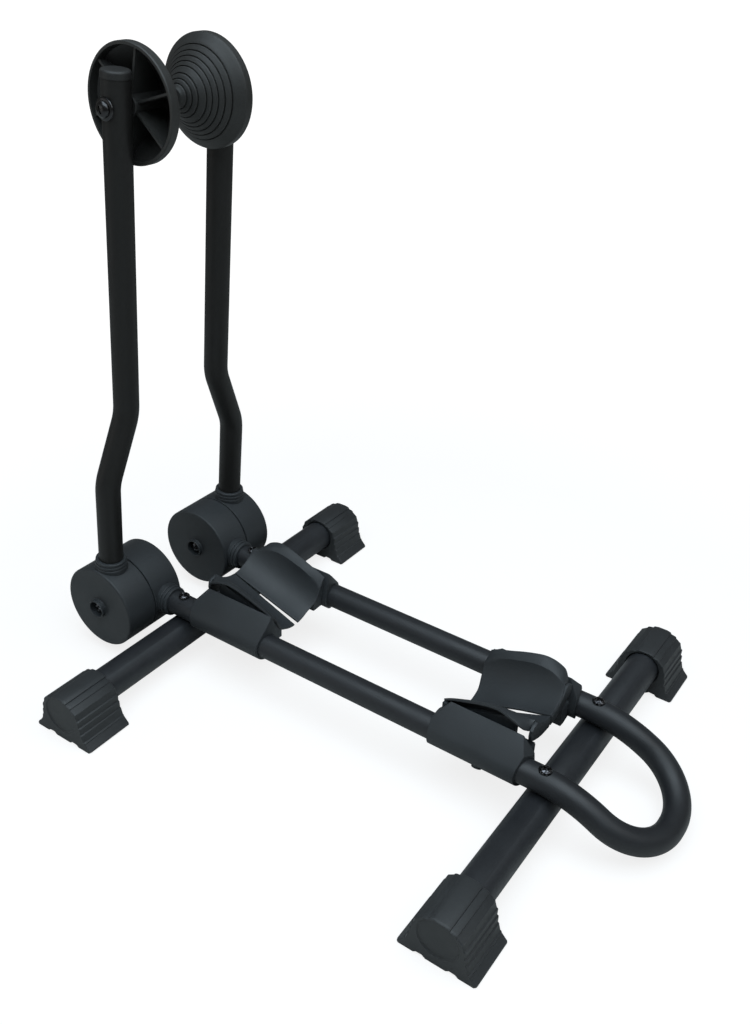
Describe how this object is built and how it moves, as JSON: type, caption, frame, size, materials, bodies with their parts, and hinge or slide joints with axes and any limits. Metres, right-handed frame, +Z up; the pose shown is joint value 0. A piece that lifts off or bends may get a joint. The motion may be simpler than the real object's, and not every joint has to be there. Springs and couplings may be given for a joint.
{
  "type": "floor bike rack",
  "caption": "Floor bike rack with a looped tube base on footed cross tubes, folding upright arms that carry stepped cones for the hub, and sliding tyre trays.",
  "frame": {"origin": "on the floor, in the middle of the rack's length and width", "axes": "+X from the hinge drums towards the front loop, +Y to the right side, +Z up"},
  "size_m": [0.5766, 0.406, 0.5348],
  "materials": {
    "coated_tube": "satin black powder coat",
    "moulded_plastic": "matt black moulded plastic",
    "soft_rubber": "matt black rubber-like moulding",
    "black_screw": "glossy black screw",
    "plain_steel": "zinc plated",
    "friction_pad": "dull friction lining"
  },
  "bodies": {
    "frame": {"hoop_frame": "coated_tube", "rear_cross_tube": "coated_tube", "rear_left_foot": "soft_rubber", "rear_left_frame_screw": "black_screw", "rear_right_foot": "soft_rubber", "rear_right_frame_screw": "black_screw", "front_cross_tube": "coated_tube", "front_left_foot": "soft_rubber", "front_left_frame_screw": "black_screw", "front_right_foot": "soft_rubber", "front_right_frame_screw": "black_screw", "left_drum_inner_half": "moulded_plastic", "left_friction_disc": "friction_pad", "left_hinge_bolt": "black_screw", "left_hinge_nut": "plain_steel", "right_drum_inner_half": "moulded_plastic", "right_friction_disc": "friction_pad", "right_hinge_bolt": "black_screw", "right_hinge_nut": "plain_steel"},
    "left_upright": {"left_drum_outer_half": "moulded_plastic", "left_arm": "coated_tube", "left_arm_cap": "moulded_plastic", "left_cone_washer": "black_screw", "left_cone_bolt": "black_screw", "left_cone_nut": "plain_steel"},
    "left_cone_wheel": {"left_cone": "soft_rubber"},
    "right_upright": {"right_drum_outer_half": "moulded_plastic", "right_arm": "coated_tube", "right_arm_cap": "moulded_plastic", "right_cone_washer": "black_screw", "right_cone_bolt": "black_screw", "right_cone_nut": "plain_steel"},
    "right_cone_wheel": {"right_cone": "soft_rubber"},
    "rear_left_tray": {"rear_left_tray_half": "moulded_plastic", "rear_left_tray_screw": "black_screw"},
    "rear_right_tray": {"rear_right_tray_half": "moulded_plastic", "rear_right_tray_screw": "black_screw"},
    "front_left_tray": {"front_left_tray_half": "moulded_plastic", "front_left_tray_screw": "black_screw"},
    "front_right_tray": {"front_right_tray_half": "moulded_plastic", "front_right_tray_screw": "black_screw"}
  },
  "joints": [
    {"name": "left_upright_fold", "type": "hinge", "parent": "frame", "child": "left_upright", "pos_m": [-0.24834, -0.0815, 0.0504], "axis": [0, 1, 0], "range_deg": [-15, 74]},
    {"name": "left_cone_spin", "type": "hinge", "parent": "left_upright", "child": "left_cone_wheel", "pos_m": [-0.21366, -0.03, 0.49104], "axis": [0, 1, 0], "continuous": true},
    {"name": "right_upright_fold", "type": "hinge", "parent": "frame", "child": "right_upright", "pos_m": [-0.24834, 0.0815, 0.0504], "axis": [0, 1, 0], "range_deg": [-15, 74]},
    {"name": "right_cone_spin", "type": "hinge", "parent": "right_upright", "child": "right_cone_wheel", "pos_m": [-0.21366, 0.03, 0.49104], "axis": [0, 1, 0], "continuous": true},
    {"name": "rear_left_tray_slide", "type": "slide", "parent": "frame", "child": "rear_left_tray", "axis": [1, 0, 0], "range_m": [-0.003, 0.08]},
    {"name": "rear_right_tray_slide", "type": "slide", "parent": "frame", "child": "rear_right_tray", "axis": [1, 0, 0], "range_m": [-0.003, 0.08]},
    {"name": "front_left_tray_slide", "type": "slide", "parent": "frame", "child": "front_left_tray", "axis": [1, 0, 0], "range_m": [-0.08, 0.003]},
    {"name": "front_right_tray_slide", "type": "slide", "parent": "frame", "child": "front_right_tray", "axis": [1, 0, 0], "range_m": [-0.08, 0.003]}
  ]
}
